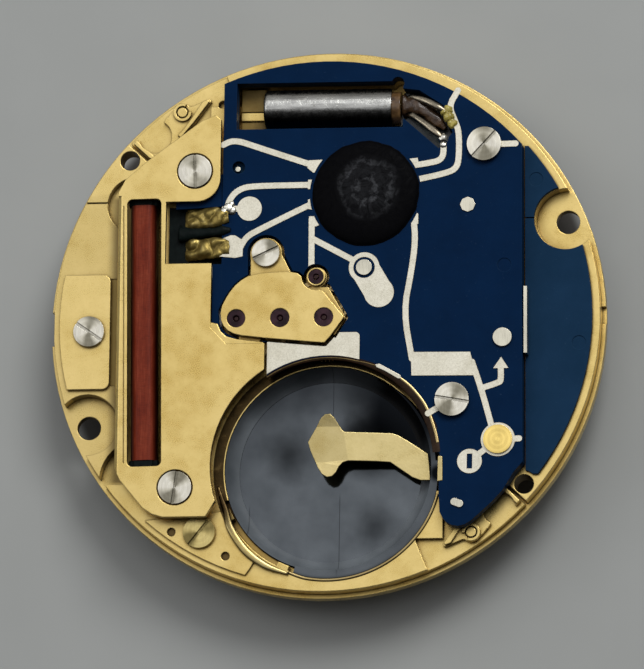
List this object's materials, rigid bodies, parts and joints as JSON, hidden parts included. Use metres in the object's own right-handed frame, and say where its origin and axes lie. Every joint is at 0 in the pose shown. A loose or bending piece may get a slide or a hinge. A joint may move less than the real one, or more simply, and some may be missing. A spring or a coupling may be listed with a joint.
{
  "type": "watch movement",
  "caption": "Round quartz watch movement with gear train under a jewelled bridge, coil, circuit, battery well, motion work and date ring.",
  "frame": {"origin": "on the hand axis, in the plane of the main plate's dial seat", "axes": "+Z along the hand axis towards the battery side (the back of the watch), +X away from the stem, +Y away from the battery well"},
  "size_m": [0.026, 0.026, 0.0045],
  "materials": {
    "gold": "gold-plated, finely sandblasted",
    "polished_steel": "nickel-plated, polished",
    "steel": "fine-turned",
    "wheel_brass": "gilt, satin",
    "ruby": "polished synthetic ruby",
    "soft_iron": "annealed, matt",
    "magnet": "ground",
    "bobbin": "moulded",
    "coil_wire": "enamelled copper wire",
    "foil": "crinkled foil",
    "film": "satin film",
    "date_print": "printed white",
    "board_blue": "solder mask",
    "support_blue": "moulded",
    "track_silver": "tinned copper",
    "contact_gold": "gold flash",
    "chip_black": "epoxy, scuffed",
    "can_steel": "drawn, scuffed",
    "base_glass": "fused glass bead",
    "solder": "soldered, with flux"
  },
  "bodies": {
    "movement": {"main_plate": "gold", "battery_insulator": "film", "battery_spring": "gold", "positive_contact": "gold", "positive_contact_screw": "polished_steel", "coil_core": "soft_iron", "coil_bobbin": "bobbin", "coil_winding": "coil_wire", "coil_terminals": "bobbin", "terminal_foils": "foil", "stator": "soft_iron", "coil_cover": "gold", "cover_screws": "polished_steel", "plate_jewels": "ruby", "bridge_jewels": "ruby", "centre_bush": "wheel_brass", "train_bridge": "gold", "bridge_screw": "polished_steel", "wheel_posts": "steel", "date_jumper": "steel", "date_guard": "steel", "guard_screws": "polished_steel", "keyless_posts": "steel", "stem_plate": "gold", "stem_plate_screw": "polished_steel", "dial_clamp_pins": "gold", "module_support": "support_blue", "circuit_board": "board_blue", "circuit_tracks": "track_silver", "contact_disc": "contact_gold", "contact_pins": "polished_steel", "chip_cap": "chip_black", "quartz_can": "can_steel", "quartz_base": "base_glass", "quartz_leads": "steel", "solder_joints": "solder", "module_screws": "polished_steel"},
    "rotor": {"rotor_magnet": "magnet", "rotor_pinion": "steel"},
    "intermediate": {"intermediate_wheel": "wheel_brass", "intermediate_pinion": "steel"},
    "seconds": {"seconds_wheel": "wheel_brass", "seconds_arbor": "steel"},
    "third": {"third_wheel": "wheel_brass", "third_pinion": "steel"},
    "centre": {"centre_wheel": "wheel_brass", "centre_arbor": "steel"},
    "cannon": {"cannon_pinion": "steel"},
    "minute": {"minute_wheel": "wheel_brass", "minute_pinion": "steel"},
    "hour": {"hour_wheel": "wheel_brass"},
    "setting": {"setting_wheel": "wheel_brass"},
    "stem_setting": {"stem_setting_wheel": "wheel_brass"},
    "date_drive": {"date_driving_wheel": "wheel_brass"},
    "date": {"date_ring": "date_print"},
    "clutch": {"sliding_pinion": "steel"},
    "yoke": {"yoke": "steel"},
    "lever": {"setting_lever": "steel"},
    "clamp_upper": {"dial_clamp_upper": "gold"},
    "clamp_lower": {"dial_clamp_lower": "gold"}
  },
  "joints": [
    {"name": "seconds_turn", "type": "hinge", "parent": "movement", "child": "seconds", "pos_m": [0, 0, 0], "axis": [0, 0, 1], "continuous": true},
    {"name": "rotor_turn", "type": "hinge", "parent": "movement", "child": "rotor", "pos_m": [-0.0041, 0, 0], "axis": [0, 0, 1], "continuous": true},
    {"name": "intermediate_turn", "type": "hinge", "parent": "movement", "child": "intermediate", "pos_m": [-0.00205, 0, 0], "axis": [0, 0, 1], "continuous": true},
    {"name": "third_turn", "type": "hinge", "parent": "movement", "child": "third", "pos_m": [-0.0004, 0.00195, 0], "axis": [0, 0, 1], "continuous": true},
    {"name": "centre_turn", "type": "hinge", "parent": "movement", "child": "centre", "pos_m": [0, 0, 0], "axis": [0, 0, 1], "continuous": true},
    {"name": "cannon_turn", "type": "hinge", "parent": "movement", "child": "cannon", "pos_m": [0, 0, 0], "axis": [0, 0, 1], "continuous": true},
    {"name": "minute_turn", "type": "hinge", "parent": "movement", "child": "minute", "pos_m": [-0.00173, 0.001, 0], "axis": [0, 0, 1], "continuous": true},
    {"name": "hour_turn", "type": "hinge", "parent": "movement", "child": "hour", "pos_m": [0, 0, 0], "axis": [0, 0, 1], "continuous": true},
    {"name": "setting_turn", "type": "hinge", "parent": "movement", "child": "setting", "pos_m": [-0.0049, 0.00145, 0], "axis": [0, 0, 1], "continuous": true},
    {"name": "stem_setting_turn", "type": "hinge", "parent": "movement", "child": "stem_setting", "pos_m": [-0.008, 0.00005, 0], "axis": [0, 0, 1], "continuous": true},
    {"name": "date_drive_turn", "type": "hinge", "parent": "movement", "child": "date_drive", "pos_m": [0.00393, 0.00275, 0], "axis": [0, 0, 1], "continuous": true},
    {"name": "date_turn", "type": "hinge", "parent": "movement", "child": "date", "pos_m": [0, 0, 0], "axis": [0, 0, 1], "continuous": true},
    {"name": "clutch_slide", "type": "slide", "parent": "movement", "child": "clutch", "axis": [1, 0, 0], "range_m": [0, 0.0002]},
    {"name": "lever_turn", "type": "hinge", "parent": "movement", "child": "lever", "pos_m": [-0.01125, -0.0019, 0], "axis": [0, 0, 1], "range_deg": [0, 11]},
    {"name": "yoke_turn", "type": "hinge", "parent": "movement", "child": "yoke", "pos_m": [-0.0104, 0.0015, 0], "axis": [0, 0, 1], "range_deg": [0, 9]},
    {"name": "clamp_upper_turn", "type": "hinge", "parent": "movement", "child": "clamp_upper", "pos_m": [-0.00692, 0.0101, 0], "axis": [0, 0, -1], "range_deg": [0, 12]},
    {"name": "clamp_lower_turn", "type": "hinge", "parent": "movement", "child": "clamp_lower", "pos_m": [0.00692, -0.0101, 0], "axis": [0, 0, -1], "range_deg": [0, 12]}
  ],
  "couplings": [
    {"joint": "rotor_turn", "follows": "seconds_turn", "ratio": 30},
    {"joint": "intermediate_turn", "follows": "seconds_turn", "ratio": -5},
    {"joint": "third_turn", "follows": "seconds_turn", "ratio": -0.13333},
    {"joint": "centre_turn", "follows": "seconds_turn", "ratio": 0.016667},
    {"joint": "minute_turn", "follows": "cannon_turn", "ratio": -0.33333},
    {"joint": "hour_turn", "follows": "cannon_turn", "ratio": 0.083333},
    {"joint": "setting_turn", "follows": "cannon_turn", "ratio": 0.29412},
    {"joint": "stem_setting_turn", "follows": "cannon_turn", "ratio": -0.29412},
    {"joint": "date_drive_turn", "follows": "cannon_turn", "ratio": -0.041667},
    {"joint": "lever_turn", "follows": "clutch_slide", "rad_per_m": 959.9},
    {"joint": "yoke_turn", "follows": "clutch_slide", "rad_per_m": 767.9}
  ]
}
